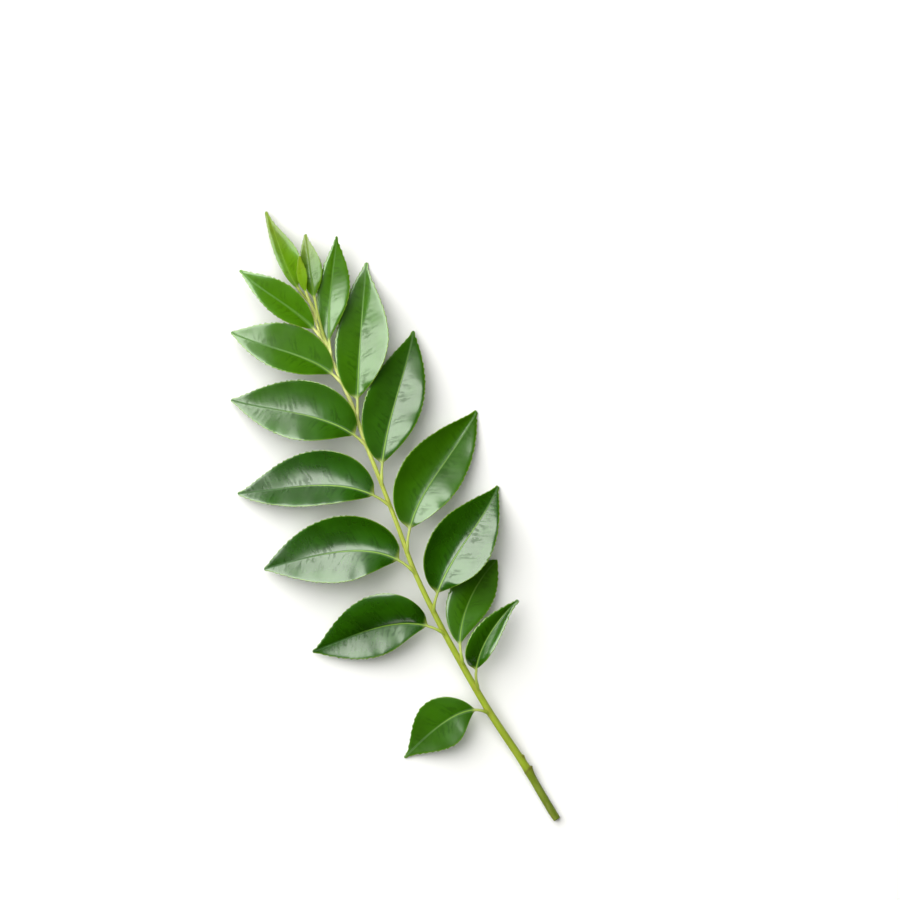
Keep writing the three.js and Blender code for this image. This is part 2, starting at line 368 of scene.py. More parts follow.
# %% [markdown]
# ## Growing a blade
# Loops of points are placed along the plain leaflet's line, closest together where the tip is rounded off.
# Each one's share of the sheet is raised into relief, its margins are pushed out by the teeth, and the sheet
# gets its thickness, with the midrib as a faint cord above and a strong ridge below.

# %% Loops along the sheet
LOOP_SPACING = 0.25 * MM
FEWEST_LOOPS = 60
STALKLET_LOOPS = 14
TIP_LOOPS = 7
TIP_TURN = 1.45  # radians: the tip is rounded by not quite a quarter turn


def loops_along(base, length, tip):
    """How far along its leaflet each loop lies; tip is the radius that rounds the end."""
    stalklet_at = np.linspace(0, base, STALKLET_LOOPS, endpoint=False)
    blade_at = np.linspace(base, length - tip, max(FEWEST_LOOPS, round((length - base) / LOOP_SPACING)))
    tip_at = length - tip + tip * np.sin(np.linspace(0, TIP_TURN, TIP_LOOPS + 1)[1:])
    return np.concatenate([stalklet_at, blade_at, tip_at])


def round_sheet(columns, at, length, tip):
    """The sheet with a rounded tip, the ways right and up, and how far midrib and margin are."""
    sheet = sheet_across(columns[:, :, 0])
    past = np.clip((at - (length - tip)) / tip, 0, 0.995)[:, None, None]
    midrib = sheet[:, HALF_POINTS : HALF_POINTS + 1]
    sheet = midrib + (sheet - midrib) * np.sqrt(1 - past**2)
    right = np.gradient(sheet, axis=1)
    up = unit(np.cross(right, np.gradient(sheet, axis=0)))
    up[-3:] = up[-4]
    out_steps = np.linalg.norm(np.diff(sheet, axis=1), axis=2)
    total = np.concatenate([np.zeros((len(at), 1)), np.cumsum(out_steps, axis=1)], axis=1)
    x = np.abs(total - total[:, HALF_POINTS : HALF_POINTS + 1])
    inward = np.where(across < 0, x[:, :1], x[:, -1:]) - x
    return sheet, unit(right), up, x, inward


# %% Grow a blade
THICKNESS, MARGIN_THINNING = 0.26 * MM, 0.4
PLAIN_THICKNESS = 0.4 * MM
VEINS_BELOW = 0.7  # how much of the side veins' relief the underside shows
CORD_HEIGHT, CORD_WIDTH = 0.018 * MM, 0.2 * MM
RIDGE_HEIGHT, RIDGE_WIDTH = (0.32 * MM, 0.03 * MM), (0.34 * MM, 0.14 * MM)  # at the base and at the tip


def fold_of(columns):
    """How steeply the two halves rise from the midrib, from 0 to 1."""
    beside = columns[:, [MIDRIB - 1, MIDRIB + 1], 0]
    rise = (beside[:, :, 2] - columns[:, MIDRIB, :1, 2]).mean(axis=1)
    level = np.linalg.norm(beside[:, 0, :2] - beside[:, 1, :2], axis=1) / 2
    return np.clip(rise / level, 0, 1)[:, None]


def grow_blade(rng, columns, at, base, length, tip, roll, tooth_strength):
    """The upper and the under face, and where each point lies, in millimetres and as shares."""
    s = (at - base)[:, None]
    t = np.clip(s / (length - base), 0, 1)
    sheet, right, up, x, inward = round_sheet(columns, at, length, tip)
    form = blade_form(rng, s, x, t, inward, fold_of(columns), roll)
    vein_count = vein_places(rng, s, x)
    veins = vein_relief(rng, vein_count, x, t)
    cord = CORD_HEIGHT * (1 - t) * np.exp(-((x / CORD_WIDTH) ** 2))
    ridge_width = RIDGE_WIDTH[0] + (RIDGE_WIDTH[1] - RIDGE_WIDTH[0]) * t
    ridge = (RIDGE_HEIGHT[0] * (1 - t) ** 1.2 + RIDGE_HEIGHT[1]) * np.exp(-((x / ridge_width) ** 2))
    push = teeth(rng, s, t, tooth_strength) * np.clip(1 - inward / TOOTH_REACH, 0, 1) ** 2
    thin = THICKNESS * (1 - MARGIN_THINNING * share_out**6)
    middle = sheet + right * (side * push)[..., None] - up * (PLAIN_THICKNESS / 2)
    top = middle + up * (form + thin / 2 + cord - veins)[..., None]
    under = middle + up * (form - thin / 2 - ridge - VEINS_BELOW * veins)[..., None]
    return top, under, (side * x / MM, s / MM, vein_count), (share_out[None], t, inward / MM)


# %% [markdown]
# ## The leaflet's own stalk
# Each blade stands on a short stalklet, round below and faintly grooved above, which runs on into the main
# stalk. On the real sprig the two are one growth, so here the stalklet leaves the stalk at a flat angle and
# sinks out of sight in it. The base of the blade melts into the round section.

# %% Round section, and the way into the stalk
TUBE_REACH = math.radians(84)  # the upper half of the section ends this far down each side
GROOVE, GROOVE_WIDTH = 0.22, 0.3
INTO_STALK = 0.15  # how far out from the stalk's heart the stalklet ends, as a share of the way to its joint
SUNK_LENGTH = 2.8 * MM  # how far down the stalk it runs on while it sinks in
SUNK_LOOPS = 11


def tube(centre, left_way, normal, radius):
    """The upper and the under half of a round section at each point of a line."""
    angle = TUBE_REACH * across
    outward = np.sin(angle)[None, :, None] * -left_way[:, None]
    upward = np.cos(angle)[None, :, None] * normal[:, None]
    groove = (1 - GROOVE * np.exp(-((across / GROOVE_WIDTH) ** 2)))[None, :, None]
    size = radius[:, None, None]
    return centre[:, None] + size * (outward + upward * groove), centre[:, None] + size * (outward - upward)


def way_into_stalk(joint, way):
    """A long bend from inside the stalk out to where the stalklet stands free, and how far up the stalk."""
    nearest = np.argmin(np.linalg.norm(stalk_middle - joint, axis=1))
    heart_way = unit(np.gradient(stalk_middle, axis=0)[nearest])
    past = (joint - stalk_middle[nearest]) @ heart_way
    heart = stalk_middle[nearest] + heart_way * past
    inside = heart - heart_way * SUNK_LENGTH + (joint - heart) * INTO_STALK
    bend = joint - way * SUNK_LENGTH / 2
    k = np.linspace(0, 1, SUNK_LOOPS, endpoint=False)[:, None]
    return (1 - k) ** 2 * inside + 2 * k * (1 - k) * bend + k**2 * joint, stalk_run[nearest] + past


# %% Add the stalklet
STALKLET_RADIUS = 0.45 * MM
FLARE, FLARE_LENGTH = 0.12 * MM, 1.1 * MM  # how much thicker it is where it leaves the stalk


def add_stalklet(centre, at, t, top, under):
    """The two faces with the stalklet, which runs back into the stalk, and how far up the stalk that is."""
    way = unit(np.gradient(centre, axis=0))
    left_way = left_of(way)
    radius = STALKLET_RADIUS + FLARE * np.exp(-((at / FLARE_LENGTH) ** 2))
    tube_top, tube_under = tube(centre, left_way, np.cross(way, left_way), radius)
    spread = smoothstep(-0.015, 0.035, t)[..., None]
    line, joint_at = way_into_stalk(centre[0], way[0])
    back_way = unit(np.gradient(np.concatenate([line, centre[:1]]), axis=0)[:-1])
    back_left = unit(left_way[0] - back_way * (back_way @ left_way[0])[:, None])
    narrowing = np.linspace(0.5, 1, SUNK_LOOPS)
    back_top, back_under = tube(line, back_left, np.cross(back_way, back_left), radius[0] * narrowing)
    top = np.concatenate([back_top, tube_top + (top - tube_top) * spread])
    under = np.concatenate([back_under, tube_under + (under - tube_under) * spread])
    return top, under, joint_at


# %% [markdown]
# ## Growing a leaflet
# One function puts it together: blade, stalklet and the rims that close the two faces into one skin. It also
# stores where each point lies, because the finishes draw their veins and rims from that. Youth runs from 0
# on a mature leaflet to 1 on one that has just opened, and the midrib's reach is how far up the blade its
# pale line can be seen.

# %% Grow one leaflet
RIM_BULGE = 0.05 * MM
STALK_TINT = 2.5 * MM  # how far along the stalklet the main stalk's own green can be seen


def close_round(top, under):
    """Loops that run over the top, round one rim, back under the blade and round the other rim."""
    rims = []
    for edge, next_in in ((0, 1), (-1, -2)):
        outward = unit(top[:, edge] - top[:, next_in])
        rims.append((top[:, edge] + under[:, edge]) / 2 + outward * RIM_BULGE)
    return np.concatenate([top, rims[1][:, None], under[:, ::-1], rims[0][:, None]], axis=1)


def all_round(values, free_loops):
    """Values of one face's free loops, repeated for those in the stalk and for the other face."""
    values = np.broadcast_to(values, (free_loops, len(across)))
    values = np.concatenate([np.broadcast_to(values[:1], (SUNK_LOOPS, len(across))), values])
    return np.concatenate([values, values[:, -1:], values[:, ::-1], values[:, :1]], axis=1)


def grow_leaflet(name, youth, roll, tooth_strength, midrib_reach, seed):
    rings = plain[name]
    run = distances(rings[:, MIDRIB, 0])
    base, length = run[BLADE_RING], run[-1]
    tip = np.linalg.norm(rings[-1, 0, 0] - rings[-1, -1, 0]) / 2
    at = loops_along(base, length, tip)
    columns = smooth_between(run, rings, at)
    rng = np.random.default_rng(seed)
    top, under, place, share = grow_blade(rng, columns, at, base, length, tip, roll, tooth_strength)
    t = share[1]
    centre = smooth_between(run, rings.mean(axis=(1, 2)), at)
    top, under, joint_at = add_stalklet(centre, at, t, top, under)
    loops = close_round(top, under)
    underside = np.zeros(loops.shape[1], int)
    underside[len(across) + 1 : 2 * len(across)] = 1
    made = skin(name.replace("leaflet", "leaf"), loops, underside)

    for label, three in (("blade_place", place), ("blade_share", share)):
        paint(made, label, np.stack([all_round(v, len(at)) for v in three], axis=-1))
    held = {"stalklet": 1 - smoothstep(-0.01, 0.05, t),
            "youth": np.clip(youth + 0.22 * youth * (t - 0.4) / 0.6, 0, 1),
            "midrib_reach": midrib_reach,
            "by_stalk": 1 - smoothstep(0, STALK_TINT, at)[:, None],
            "joint_at": joint_at / MM}
    for label, values in held.items():
        paint(made, label, all_round(values, len(at)))
    return made


# %% [markdown]
# ## All seventeen leaflets
# The leaflets get older down the stalk: the three at its tip have just opened, the next pairs are still a
# fresh green, and the rest are deep green, a few of them a little lighter. On the left of the stalk the
# midrib's pale line ends well before the tip. There, and on the youngest, the margins roll down less.

# %% Grow them
YOUNG = ("leaflet_tip", "leaflet_bud", "leaflet_tip_right")
MATURE = 0.03
YOUTH = {"leaflet_bud": 0.8, "leaflet_tip": 0.3, "leaflet_tip_right": 0.1,
         "leaflet_left_1": 0.9, "leaflet_right_1": 0.7, "leaflet_left_2": 0.55, "leaflet_right_2": 0.5,
         "leaflet_left_3": 0.22, "leaflet_right_3": 0.15, "leaflet_right_4": 0.3, "leaflet_right_6": 0.4,
         "leaflet_left_7": 0.3, "leaflet_right_7": 0.15}
ROLL_LEFT, ROLL_RIGHT = 0.04 * MM, 0.15 * MM  # how far the margins roll down
FIRST_SEED = 100

leaves = {}
for number, name in enumerate(LEAFLETS):
    roll = ROLL_LEFT if "left_" in name or name in YOUNG else ROLL_RIGHT
    tooth_strength = 0.5 if name in YOUNG else 1.0
    midrib_reach = 0.75 if "left_" in name else 1.0
    youth = YOUTH.get(name, MATURE)
    leaves[name] = grow_leaflet(name, youth, roll, tooth_strength, midrib_reach, FIRST_SEED + number)
print("leaf faces:", sum(len(made.data.polygons) for made in leaves.values()))

# %% [markdown]
# ## The stalk
# The stalk is not a plain tube. It swells softly where each leaflet joins, an old leaf scar crosses it near
# the cut end with a small dry bud above it, and a second dry bud stands a little farther up. A bud swells
# slowly from below and ends in a point, so its height rises along the stalk and then drops at once.

# %% Swellings, scar and buds
STALK_AROUND = 36  # points round the stalk
SWELLING, SWELLING_LENGTH = 0.2 * MM, 1.3 * MM
SWELLING_BELOW = 0.5 * MM  # it is fullest this far below the joint
SCAR_AT, SCAR_HEIGHT, SCAR_WIDTH = 17.2 * MM, 0.09 * MM, 0.35 * MM
SCAR_SLANT = 0.5 * MM
BUDS = ((17.6 * MM, 0.62 * MM), (21.7 * MM, 0.46 * MM))  # how far up each one's point is, and its height
BUD_LENGTH = 2.6 * MM
BUD_TURN = math.radians(12)  # they stand on the stalk's right side, a little above its middle
BUD_SPREAD = 0.42  # radians

turn = np.linspace(0, 2 * np.pi, STALK_AROUND, endpoint=False)
from_buds = np.abs((turn - BUD_TURN + np.pi) % (2 * np.pi) - np.pi)


def swell_joints(size, at, centre, out):
    """Thickens the stalk towards every leaflet's joint, and says how near to a joint each point is."""
    near_joint = np.zeros_like(size)
    for rings in plain.values():
        joint = rings[0].mean(axis=(0, 1))
        nearest = np.argmin(np.linalg.norm(centre - joint, axis=1))
        facing = np.clip(out @ unit(joint - centre[nearest]), 0, 1) ** 2
        along = (at - at[nearest] + SWELLING_BELOW) / SWELLING_LENGTH
        swell = facing * np.exp(-(along**2))[:, None]
        size += SWELLING * swell
        near_joint = np.maximum(near_joint, swell)
    return near_joint


def raise_scars(size, at):
    """Raises the old leaf scar and the dry buds, and says how far each point belongs to one of them."""
    slant = at[:, None] - SCAR_SLANT * np.cos(turn - BUD_TURN)[None, :]
    scar = np.exp(-(((slant - SCAR_AT) / SCAR_WIDTH) ** 2))
    size += SCAR_HEIGHT * scar
    for bud_at, height in BUDS:
        part = np.clip((at - bud_at) / BUD_LENGTH + 1, 0, None)
        rise = np.where(part < 1, part**2.2, np.exp(-(((part - 1) / 0.12) ** 2)))[:, None]
        size += height * rise * np.exp(-((from_buds / BUD_SPREAD) ** 2))[None, :]
        scar = np.maximum(scar, rise * (from_buds < 0.7)[None, :])
    return scar


# %% Grow the stalk
STALK_SPACING = 0.3 * MM  # between its loops
RIBS, RIB_HEIGHT = 5, 0.018  # faint ribs along it, as a share of its radius
FULLER, FULLER_FROM, FULLER_TO = 0.2, 100 * MM, 140 * MM  # it is this much thicker among the young leaflets
CUT_LOOPS = (0.4, 0.72, 0.94, 1.0)  # the loops of the cut face, as shares of its radius
DISHED = 0.12 * MM  # how far the cut face sinks in its middle


def grow_stalk():
    at = np.append(np.arange(0, stalk_run[-1], STALK_SPACING), stalk_run[-1])
    centre = smooth_between(stalk_run, stalk_middle, at)
    radius = smooth_between(stalk_run, stalk_radius, at)
    way = unit(np.gradient(centre, axis=0))
    right = unit(np.cross(way, np.array([0.0, 0, 1])))
    above = np.cross(right, way)
    out = np.cos(turn)[None, :, None] * right[:, None] + np.sin(turn)[None, :, None] * above[:, None]
    size = np.broadcast_to(radius[:, None], (len(at), STALK_AROUND)).copy()
    near_joint = swell_joints(size, at, centre, out)
    size *= 1 + RIB_HEIGHT * np.cos(RIBS * turn)[None, :]
    size *= 1 + FULLER * smoothstep(FULLER_FROM, FULLER_TO, at)[:, None]
    scar = raise_scars(size, at)
    loops = centre[:, None] + out * size[..., None]
    face = [centre[0] + (loops[0] - centre[0]) * k + way[0] * DISHED * (1 - k) for k in CUT_LOOPS]
    loops = np.concatenate([np.array(face), loops])
    cut_strips = (np.arange(len(loops) - 1) < len(CUT_LOOPS)).astype(int)[:, None]
    made = skin("stalk", loops, cut_strips, first_fan=1)

    def with_face(values, at_cut):
        return np.concatenate([np.broadcast_to(at_cut, (len(CUT_LOOPS), STALK_AROUND)), values])

    flat = np.zeros_like(size)
    place = (at[:, None] / MM + flat, turn + flat, flat + 1)
    face_place = (0, turn, np.array(CUT_LOOPS)[:, None])
    paint(made, "stalk_place", np.stack([with_face(v, c) for v, c in zip(place, face_place)], axis=-1))
    paint(made, "scar", with_face(scar, 0))
    paint(made, "joint", with_face(near_joint, 0))
    return made


stalk = grow_stalk()
print("stalk faces:", len(stalk.data.polygons))

# %% [markdown]
# ## Helpers for finishes
# A finish is a small net of nodes. Each helper places one node, wires its sockets and gives back its output,
# so that a finish reads as a few lines from top to bottom.

# %% Node helpers
def wire(tree, node, wires):
    """Gives inputs of a node a plain value each, or links them to another node's output socket."""
    for label, value in wires.items():
        if isinstance(value, bpy.types.NodeSocket):
            tree.links.new(value, node.inputs[label])
        else:
            node.inputs[label].default_value = value


def feed(tree, node, **wires):
    """The same, for inputs that are named with _ for a space."""
    wire(tree, node, {label.replace("_", " "): value for label, value in wires.items()})


def put(tree, kind, inputs=None, **settings):
    made = tree.nodes.new("ShaderNode" + kind)
    for label, value in settings.items():
        setattr(made, label, value)
    wire(tree, made, inputs or {})
    return made


def calc(tree, operation, *values):
    return put(tree, "Math", dict(enumerate(values)), operation=operation).outputs[0]


def times(tree, first, second):
    return calc(tree, "MULTIPLY", first, second)


def rest(tree, share):
    """What a share leaves of 1."""
    return calc(tree, "SUBTRACT", 1.0, share)


def ease(tree, value, low, high):
    """0 below low, 1 above high and a smooth step between."""
    wires = {"Value": value, "From Min": low, "From Max": high}
    return put(tree, "MapRange", wires, interpolation_type="SMOOTHSTEP").outputs[0]


def fade(tree, value, low, high):
    """1 below low, 0 above high and a smooth step between."""
    return rest(tree, ease(tree, value, low, high))


# %% Colours, stored values and noise
def blend(tree, share, first, second):
    """From the first colour to the second."""
    first, second = [(*c, 1) if isinstance(c, tuple) and len(c) == 3 else c for c in (first, second)]
    return put(tree, "Mix", {0: share, 6: first, 7: second}, data_type="RGBA").outputs[2]


def shade(colour, factor):
    """A lighter or darker one of a plain colour."""
    return tuple(factor * c for c in colour)


def stored(tree, label):
    """The three parts of a stored vector, or the one stored value."""
    held = put(tree, "Attribute", attribute_name=label)
    if label in ("blade_place", "blade_share", "stalk_place"):
        return put(tree, "SeparateXYZ", {0: held.outputs["Vector"]}).outputs
    return held.outputs["Fac"]


def noise(tree, x, y, z, scale, detail=2.0):
    """Soft cloudy noise; another z gives another pattern."""
    place = put(tree, "CombineXYZ", {0: x, 1: y, 2: z}).outputs[0]
    return put(tree, "TexNoise", {"Vector": place, "Scale": scale, "Detail": detail}).outputs[0]


# %% Groups and materials
def new_group(name, inputs, outputs):
    """An empty node group with named number sockets, what it is given, and the node that it feeds."""
    tree = bpy.data.node_groups.new(name, "ShaderNodeTree")
    for label, value in inputs.items():
        tree.interface.new_socket(label, in_out="INPUT", socket_type="NodeSocketFloat").default_value = value
    for label in outputs:
        tree.interface.new_socket(label, in_out="OUTPUT", socket_type="NodeSocketFloat")
    print(f"group {name}: {', '.join(inputs)} -> {', '.join(outputs)}")
    return tree, tree.nodes.new("NodeGroupInput").outputs, tree.nodes.new("NodeGroupOutput")


def use_group(tree, group, **wires):
    made = put(tree, "Group", node_tree=group)
    feed(tree, made, **wires)
    return made.outputs


def material(name):
    made = bpy.data.materials.new(name)
    made.use_nodes = True
    print("finish:", name)
    return made, made.node_tree, made.node_tree.nodes["Principled BSDF"]


def relief(tree, height, distance, strength=1.0):
    """Turns a height from 0 to 1 into a tilt of the surface."""
    return put(tree, "Bump", {"Height": height, "Distance": distance, "Strength": strength}).outputs[0]


# %% [markdown]
# ## Group: vein lines
# The midrib is a thin pale line that fades before the tip, and the side veins are fainter lines on either
# side. Both faces of every leaflet use them, the underside much more strongly, so they are one group with
# their widths as inputs. The lines are counted from the places stored in the mesh, so they run the way of
# the relief's veins, but drift a little on their own.

# %% Group: vein lines
MIDRIB_TAPER = 0.55  # how much of its width the midrib loses by half way up the blade
MIDRIB_FADE = 0.45  # the share of the blade over which its end fades
LINE_DRIFT = 0.9  # in veins
COUNT_SHIFT = 100.35  # keeps the count above 0 and moves the lines against their drift
NET_SCALE = 1.5  # meshes of the finest net in a millimetre


def build_vein_lines():
    inputs = {"Midrib Width": 0.28, "Midrib End": 1.0, "Vein Width": 0.2}
    tree, given, result = new_group("vein_lines", inputs, ("Midrib", "Veins", "Net"))
    x, y, count = stored(tree, "blade_place")
    out, t, _ = stored(tree, "blade_share")
    away = calc(tree, "ABSOLUTE", x)
    taper = rest(tree, times(tree, ease(tree, t, 0.0, 0.5), MIDRIB_TAPER))
    width = times(tree, given["Midrib Width"], taper)
    near = fade(tree, calc(tree, "DIVIDE", away, width), 0.35, 1.0)
    end = times(tree, given["Midrib End"], stored(tree, "midrib_reach"))
    midrib = times(tree, near, fade(tree, t, calc(tree, "SUBTRACT", end, MIDRIB_FADE), end))
    drift = calc(tree, "MULTIPLY_ADD", noise(tree, x, y, 0.0, scale=0.6), LINE_DRIFT, count)
    part = calc(tree, "FRACT", calc(tree, "ADD", drift, COUNT_SHIFT))
    part = calc(tree, "ABSOLUTE", calc(tree, "SUBTRACT", part, 0.5))
    line = fade(tree, calc(tree, "SUBTRACT", 0.5, part), 0.0, given["Vein Width"])
    veins = times(tree, line, fade(tree, out, 0.55, 0.98))
    place = put(tree, "CombineXYZ", {0: x, 1: y, 2: 0.0}).outputs[0]
    cells = put(tree, "TexVoronoi", {"Vector": place, "Scale": NET_SCALE}, feature="DISTANCE_TO_EDGE")
    feed(tree, result, Midrib=midrib, Veins=veins, Net=fade(tree, cells.outputs["Distance"], 0.02, 0.16))
    return tree


vein_lines = build_vein_lines()

# %% [markdown]
# ## Group: leaf tone
# No leaf is one green. It has broad lighter and darker patches, and fine feathery streaks that run the way
# of the side veins. The streaks come from noise that is stretched along the veins: it changes quickly from
# vein to vein and slowly outward. They are strongest near the midrib, and a slow second noise gathers them
# in clusters.

# %% Group: leaf tone
STREAK_BEND = 2.5  # how many veins a streak may wander across
STREAK_STRETCH = 0.22  # changes outward in a millimetre
OTHER_HALF = 7.0  # a step in the noise, so that the two halves of a blade aren't alike


def build_leaf_tone():
    inputs = {"Patch Scale": 0.11, "Streak Count": 1.9, "Streak Reach": 0.85}
    tree, given, result = new_group("leaf_tone", inputs, ("Patches", "Streaks", "Grain"))
    x, y, count = stored(tree, "blade_place")
    out = stored(tree, "blade_share")[0]
    patches = ease(tree, noise(tree, x, y, 3.0, scale=given["Patch Scale"], detail=3.0), 0.3, 0.7)
    bent = calc(tree, "MULTIPLY_ADD", noise(tree, x, y, 6.0, scale=0.25, detail=3.0), STREAK_BEND, count)
    fine = times(tree, bent, given["Streak Count"])
    half = times(tree, calc(tree, "SIGN", x), OTHER_HALF)
    stretched = noise(tree, fine, times(tree, x, STREAK_STRETCH), half, scale=1.0, detail=4.0)
    fades = fade(tree, out, times(tree, given["Streak Reach"], 0.35), given["Streak Reach"])
    sharp = fade(tree, stretched, 0.36, 0.5)
    clusters = ease(tree, noise(tree, x, y, 9.0, scale=0.3), 0.34, 0.54)
    streaks = times(tree, sharp, times(tree, fades, clusters))
    grain = noise(tree, x, y, 0.0, scale=5.0, detail=3.0)
    feed(tree, result, Patches=patches, Streaks=streaks, Grain=grain)
    return tree


leaf_tone = build_leaf_tone()

# %% [markdown]
# ## Group: rim
# The very edge of a leaflet is a thin pale line of tough tissue, and just inside it the green is a little
# lighter. Both are worked out from the distance to the margin that is stored in the mesh, in millimetres.

# %% Group: rim
def build_rim():
    tree, given, result = new_group("rim", {"Width": 0.22, "Band": 1.2}, ("Rim", "Band"))
    inward = stored(tree, "blade_share")[2]
    blade = rest(tree, stored(tree, "stalklet"))
    edge = fade(tree, inward, times(tree, given["Width"], 0.5), given["Width"])
    band = fade(tree, inward, 0.0, given["Band"])
    feed(tree, result, Rim=times(tree, edge, blade), Band=times(tree, band, blade))
    return tree


rim = build_rim()

# %% [markdown]
# ## Group: fibres
# Stalk and stalklets show faint lengthwise lines. The lines are noise that is stretched along the stalk and
# wraps round it. The leaflets use the same group for their stalklets.

# %% Group: fibres
LINE_STRETCH, BLOTCH_STRETCH = 0.12, 0.3  # changes along the stalk in a millimetre


def build_fibres():
    inputs = {"Along": 0.0, "Around": 0.0, "Fineness": 3.0}
    tree, given, result = new_group("fibres", inputs, ("Lines", "Blotches"))
    around = [calc(tree, turn, given["Around"]) for turn in ("SINE", "COSINE")]
    ring = [times(tree, turn, given["Fineness"]) for turn in around]
    lines = noise(tree, *ring, times(tree, given["Along"], LINE_STRETCH), scale=1.0, detail=4.0)
    patch = noise(tree, *around, times(tree, given["Along"], BLOTCH_STRETCH), scale=0.8, detail=3.0)
    feed(tree, result, Lines=lines, Blotches=ease(tree, patch, 0.35, 0.7))
    return tree


fibres = build_fibres()

# %% [markdown]
# ## Greens of the stalk
# The stalk is creamy yellow-green among the young leaflets, turns a fuller green down the sprig, and below
# the old scar it is olive. A stalklet is pale green, creamier on a young leaflet, and where it leaves the
# stalk it has the stalk's own colour, so both finishes use the same run of greens.

# %% Greens of stalk and stalklets
STALK_GREENS = ((0.0, (0.10, 0.155, 0.003)), (15.5, (0.125, 0.19, 0.004)), (19.5, (0.24, 0.33, 0.012)),
                (60.0, (0.30, 0.40, 0.025)), (110.0, (0.42, 0.50, 0.07)), (150.0, (0.64, 0.68, 0.22)))
PALE_STALK = (0.36, 0.44, 0.075)
CREAM_STALK = (0.60, 0.64, 0.20)


def stalk_green(tree, along):
    """The stalk's colour at a height in millimetres above its cut."""
    green = (*STALK_GREENS[0][1], 1)
    for (low, _), (high, colour) in zip(STALK_GREENS, STALK_GREENS[1:]):
        green = blend(tree, ease(tree, along, low, high), green, colour)
    return green


def stalklet_colour(tree, green):
    """Lets a leaf colour run out into the pale stalklet, and that into the stalk."""
    x, y, _ = stored(tree, "blade_place")
    lines = use_group(tree, fibres, Along=y, Around=times(tree, x, 3.0))
    pale = blend(tree, lines["Blotches"], PALE_STALK, shade(PALE_STALK, 0.8))
    pale = blend(tree, stored(tree, "youth"), pale, CREAM_STALK)
    pale = blend(tree, stored(tree, "by_stalk"), pale, stalk_green(tree, stored(tree, "joint_at")))
    return blend(tree, stored(tree, "stalklet"), green, pale)


# %% [markdown]
# ## The upper face
# The upper face is deep green under a clear waxy coat: the coat's soft reflection of the window is what
# turns the sunlit halves almost white. Streaks and the midrib dull the coat. The green under it is lighter
# on young leaflets, and the youngest have less coat and turn a little yellow towards the tip.

# %% Upper face
TIP_YELLOW = (0.17, 0.23, 0.006)
ROUGHNESS, YOUNG_ROUGHER, MIDRIB_ROUGHER = 0.19, 0.3, 0.5


def upper_green(tree, tone, veins, deep, fresh, vein_colour, rim_colour, tip_share):
    """The upper face's colour, from the broad patches to the fine lines."""
    youth = stored(tree, "youth")
    edges = use_group(tree, rim)
    green = blend(tree, youth, deep, fresh)
    lighter = blend(tree, youth, shade(deep, 1.9), shade(fresh, 1.25))
    green = blend(tree, times(tree, tone["Patches"], 0.8), green, lighter)
    darker = blend(tree, youth, shade(deep, 0.5), shade(fresh, 0.6))
    green = blend(tree, times(tree, tone["Streaks"], 0.55), green, darker)
    green = blend(tree, times(tree, veins["Veins"], 0.012), green, vein_colour)
    green = blend(tree, times(tree, edges["Band"], 0.35), green, lighter)
    cord_colour = blend(tree, youth, vein_colour, shade(fresh, 1.1))
    green = blend(tree, veins["Midrib"], green, cord_colour)
    green = blend(tree, times(tree, edges["Rim"], 0.7), green, rim_colour)
    towards_tip = ease(tree, stored(tree, "blade_share")[1], 0.35, 1.0)
    return blend(tree, times(tree, towards_tip, tip_share), green, TIP_YELLOW)


def upper_face(name, coat_loss, specular, **colours):
    made, tree, shader = material(name)
    youth = stored(tree, "youth")
    tone = use_group(tree, leaf_tone)
    green = upper_green(tree, tone, use_group(tree, vein_lines), **colours)
    cord = use_group(tree, vein_lines, Midrib_Width=0.8, Midrib_End=2.0)["Midrib"]
    dull = calc(tree, "MAXIMUM", tone["Streaks"], times(tree, cord, 0.95))
    coat = times(tree, rest(tree, times(tree, dull, 0.9)), rest(tree, times(tree, youth, coat_loss)))
    rough = calc(tree, "MULTIPLY_ADD", youth, coat_loss * YOUNG_ROUGHER, ROUGHNESS)
    rough = calc(tree, "MULTIPLY_ADD", cord, MIDRIB_ROUGHER, rough)
    height = times(tree, calc(tree, "SUBTRACT", tone["Grain"], tone["Streaks"]), 0.5)
    feed(tree, shader, Base_Color=stalklet_colour(tree, green), Roughness=rough, Coat_Weight=coat,
         Normal=relief(tree, height, 0.02 * MM, 0.7), IOR=1.5, Coat_Roughness=0.15,
         Specular_IOR_Level=specular)
    return made


leaf_top = upper_face("leaf_top", coat_loss=0.1, specular=0.5, tip_share=0.0,
                      deep=(0.0100, 0.050, 0.0004), fresh=(0.056, 0.176, 0.0008),
                      vein_colour=(0.20, 0.36, 0.03), rim_colour=(0.22, 0.37, 0.03))
young_top = upper_face("young_leaf_top", coat_loss=0.9, specular=0.15, tip_share=0.6,
                       deep=(0.034, 0.10, 0.0006), fresh=(0.15, 0.30, 0.002),
                       vein_colour=(0.09, 0.19, 0.003), rim_colour=(0.15, 0.28, 0.005))

# %% [markdown]
# ## The underside
# The underside has no waxy coat. It is pale and almost matt, with a midrib and side veins that stand out
# clearly and a fine net between them, so it uses the same group of lines with more of their strength.

# %% Underside
def lower_face(name, pale, vein_colour):
    made, tree, shader = material(name)
    tone = use_group(tree, leaf_tone, Patch_Scale=0.2)
    veins = use_group(tree, vein_lines, Midrib_Width=0.55, Midrib_End=1.1, Vein_Width=0.16)
    green = blend(tree, tone["Patches"], pale, shade(pale, 1.2))
    green = blend(tree, times(tree, veins["Net"], 0.3), green, vein_colour)
    green = blend(tree, times(tree, veins["Veins"], 0.7), green, vein_colour)
    green = blend(tree, veins["Midrib"], green, vein_colour)
    height = calc(tree, "ADD", veins["Veins"], times(tree, veins["Net"], 0.4))
    rough = calc(tree, "MULTIPLY_ADD", tone["Grain"], 0.15, 0.45)
    feed(tree, shader, Base_Color=stalklet_colour(tree, green), Roughness=rough,
         Normal=relief(tree, height, 0.03 * MM, 0.8), IOR=1.45)
    return made


